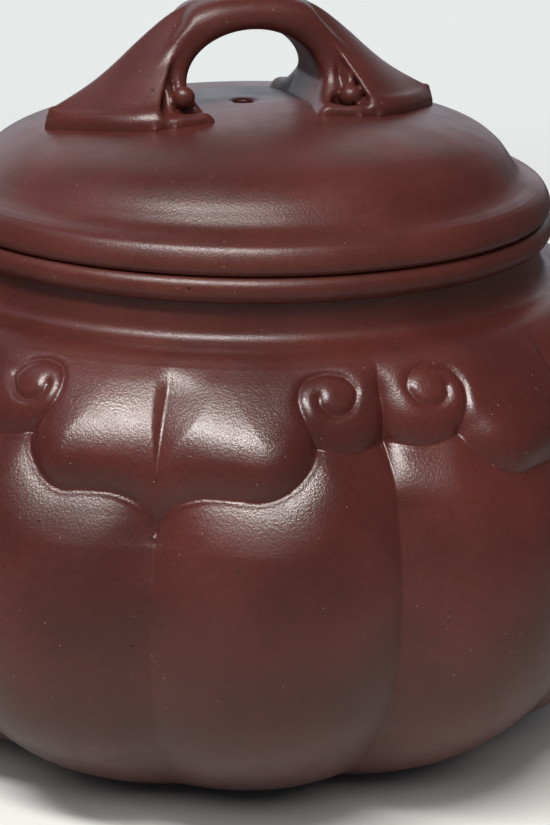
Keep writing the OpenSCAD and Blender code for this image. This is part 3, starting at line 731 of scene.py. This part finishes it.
def make_handle():
    def root(z):
        wall = float(crest_r(z)) - float(lobe_drop(np.array(180.0), z))
        return np.array([-wall + HANDLE_SUNK, 0, z])
    upper, lower = root(HANDLE_TOP_Z), root(HANDLE_LOW_Z)
    back_z = mix(HANDLE_LOW_Z, HANDLE_TOP_Z, HANDLE_MIDDLE)
    back = np.array([-REACH + HANDLE_T / 2 + HANDLE_IN, 0, back_z])
    from_upper = upper + HANDLE_OUT * np.array(WAY_ABOVE)
    over_back = back + np.array([0, 0, ABOVE_SHARE * HANDLE_DROP])
    below_back = back - np.array([0, 0, HANDLE_DROP])
    to_lower = lower + HANDLE_BACK * np.array(WAY_BELOW)
    n = 70
    path = np.vstack([bezier([upper, from_upper, over_back, back], n)[:-1],
                      bezier([back, below_back, to_lower, lower], n)])
    s = arc_length(path)
    ends = np.minimum(s, s[-1] - s)
    swell = np.exp(-np.maximum(ends - ROOT_FLAT, 0) / ROOT_LENGTH) + LONG_SHARE * np.exp(-ends / LONG_LENGTH)
    radii = np.stack([HANDLE_T / 2 * (1 + SWELL_T * swell), HANDLE_W / 2 * (1 + SWELL_W * swell)], -1)
    sides = 72
    verts = tube(path, radii, sides)
    caps = [path[:1], path[-1:]]
    count = len(path) * sides
    quads = grid_quads(len(path), sides, flip=True)
    j = np.arange(sides)
    k = (j + 1) % sides
    first = np.stack([0 * j + count, j, k], -1)
    end = count - sides
    last = np.stack([0 * j + count + 1, end + k, end + j], -1)
    handle = mesh_object("handle_clay", np.vstack([verts] + caps), quads, "pot", BODY_CLAY,
                         np.vstack([first, last]))
    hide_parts("handle")


make_pot_shell()
make_mouth_rim()
make_lid()
make_knob()
make_spout()
make_handle()
for name in ("base_disc", "foot_ring", "strainer", "lid_flange"):
    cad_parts[name].material_slots[0].material = INNER_CLAY


# ---------------------------------------------------------------- room
# The seen background, the floor's card, that card darkened where the clay mirrors it away from the pot
# (painted shade that shows only in the clay's reflections), the lit backdrop and the dark room round it
PALE = (0.795, 0.825, 0.815, 1.0)
CARD = (0.68, 0.68, 0.66, 1.0)
MIRROR_SHADE_CARD = (0.10, 0.10, 0.10, 1.0)
BACKDROP = (0.84, 0.90, 1.0, 1.0)
DARK_ROOM = (0.09, 0.09, 0.095, 1.0)
# Degrees that the lit backdrop is turned from straight behind the pot, and how its edge fades (as a cosine)
BACKDROP_TURN, BACKDROP_EDGE = 14.0, (0.60, 0.90)
# In metres: half the floor's side, how far off the lamps are, and the place they face
FLOOR_HALF, LAMP_DISTANCE, AIM = 4.0, 1.5, (0, 0, 0.045)
# Distances in metres over which the mirrored card darkens into painted shade, with its dark share at both,
# and over which the seen card turns into the background
MIRROR_SHADE_FADE, CARD_END = (0.04, 0.20, 0.45, 1.0), (0.13, 0.42)


def floor_material():
    """A matt card that turns into the pale background away from the pot; in the clay's reflections it darkens
    away from the pot, a painted shade.
    """
    m = bpy.data.materials.new("floor_card")
    m.use_nodes = True
    tree = m.node_tree
    bsdf = tree.nodes["Principled BSDF"]
    path = node(tree, "LightPath")
    length = node(tree, "VectorMath", operation="LENGTH")
    tree.links.new(node(tree, "TexCoord").outputs["Object"], length.inputs[0])
    # Painted shade: only in the clay's reflections, the card darkens away from the pot
    mirror_shade = node(tree, "Math", operation="MULTIPLY")
    tree.links.new(spread(tree, length.outputs["Value"], *MIRROR_SHADE_FADE), mirror_shade.inputs[0])
    tree.links.new(path.outputs["Is Glossy Ray"], mirror_shade.inputs[1])
    tree.links.new(colour_mix(tree, mirror_shade.outputs[0], CARD, MIRROR_SHADE_CARD), bsdf.inputs["Base Color"])
    bsdf.inputs["Roughness"].default_value = 0.7
    bsdf.inputs["Specular IOR Level"].default_value = 0.2
    glow = node(tree, "Emission")
    glow.inputs["Color"].default_value = PALE
    share = node(tree, "Math", operation="MULTIPLY")
    tree.links.new(spread(tree, length.outputs["Value"], *CARD_END), share.inputs[0])
    tree.links.new(path.outputs["Is Camera Ray"], share.inputs[1])
    join = node(tree, "MixShader")
    tree.links.new(share.outputs[0], join.inputs[0])
    tree.links.new(bsdf.outputs[0], join.inputs[1])
    tree.links.new(glow.outputs[0], join.inputs[2])
    tree.links.new(join.outputs[0], tree.nodes["Material Output"].inputs["Surface"])
    return m


def make_floor():
    mesh = bpy.data.meshes.new("floor")
    k = FLOOR_HALF
    mesh.from_pydata([(-k, -k, 0), (k, -k, 0), (k, k, 0), (-k, k, 0)], [], [(0, 1, 2, 3)])
    floor = bpy.data.objects.new("floor", mesh)
    bpy.context.scene.collection.objects.link(floor)
    mesh.materials.append(floor_material())


def make_world():
    """A dark room with a lit backdrop for the clay to mirror, and a plain pale one for the camera."""
    world = bpy.data.worlds.new("studio")
    bpy.context.scene.world = world
    world.use_nodes = True
    tree = world.node_tree
    back = tree.nodes["Background"]
    t = math.radians(CAM_AZIMUTH + BACKDROP_TURN)
    behind = node(tree, "VectorMath", operation="DOT_PRODUCT")
    tree.links.new(node(tree, "TexCoord").outputs["Generated"], behind.inputs[0])
    behind.inputs[1].default_value = (-math.sin(t), math.cos(t), 0)
    lit = spread(tree, behind.outputs["Value"], *BACKDROP_EDGE)
    tree.links.new(colour_mix(tree, lit, DARK_ROOM, BACKDROP), back.inputs["Color"])
    seen = node(tree, "Background")
    seen.inputs["Color"].default_value = PALE
    seen.inputs["Strength"].default_value = 1.0
    path = node(tree, "LightPath")
    join = node(tree, "MixShader")
    tree.links.new(path.outputs["Is Camera Ray"], join.inputs[0])
    tree.links.new(back.outputs[0], join.inputs[1])
    tree.links.new(seen.outputs[0], join.inputs[2])
    tree.links.new(join.outputs[0], tree.nodes["World Output"].inputs["Surface"])


def softbox(name, azimuth, elevation, width, height, power, colour):
    """A rectangular lamp that faces the pot; azimuth is in degrees to the camera's right."""
    t, e = math.radians(CAM_AZIMUTH + azimuth), math.radians(elevation)
    place = LAMP_DISTANCE * Vector((math.cos(e) * math.sin(t), -math.cos(e) * math.cos(t), math.sin(e)))
    light = bpy.data.lights.new(name, "AREA")
    light.shape = "RECTANGLE"
    light.size, light.size_y = width, height
    light.energy = power
    light.color = colour
    obj = bpy.data.objects.new(name, light)
    bpy.context.scene.collection.objects.link(obj)
    obj.location = place
    obj.rotation_euler = (Vector(AIM) - place).to_track_quat("-Z", "Y").to_euler()
    return obj


def make_lights():
    softbox("key", -22, 60, 1.0, 0.17, 28.5, (1.0, 0.985, 0.96))
    softbox("fill", 0, 44, 1.6, 0.5, 8.0, (1.0, 1.0, 1.0)).visible_glossy = False
    softbox("window", -100, 52, 0.35, 0.35, 0.6, (0.62, 0.70, 1.0))


def make_camera():
    """The photograph's viewpoint, fitted to the rims and ribs."""
    a, yaw, pitch, roll = (math.radians(v) for v in (CAM_AZIMUTH, CAM_YAW, CAM_PITCH, CAM_ROLL))
    right0 = Vector((math.cos(a), math.sin(a), 0))
    ahead0 = Vector((-math.sin(a), math.cos(a), 0))
    up0 = Vector((0, 0, 1))
    level = math.sin(yaw) * right0 + math.cos(yaw) * ahead0
    ahead = math.cos(pitch) * level - math.sin(pitch) * up0
    right = math.cos(yaw) * right0 - math.sin(yaw) * ahead0
    up = right.cross(ahead)
    rolled_right = right * math.cos(roll) + up * math.sin(roll)
    rolled_up = up * math.cos(roll) - right * math.sin(roll)
    place = Vector((CAM_DISTANCE * math.sin(a), -CAM_DISTANCE * math.cos(a), CAM_HEIGHT)) * MM
    camera = bpy.data.cameras.new("camera")
    camera.lens = CAM_LENS
    camera.sensor_width = 36
    camera.clip_start, camera.clip_end = 0.01, 20
    obj = bpy.data.objects.new("camera", camera)
    bpy.context.scene.collection.objects.link(obj)
    m = Matrix((rolled_right, rolled_up, -ahead)).transposed().to_4x4()
    m.translation = place
    obj.matrix_world = m
    bpy.context.scene.camera = obj


make_floor()
make_world()
make_lights()
make_camera()
bpy.context.scene.view_settings.view_transform = "Standard"
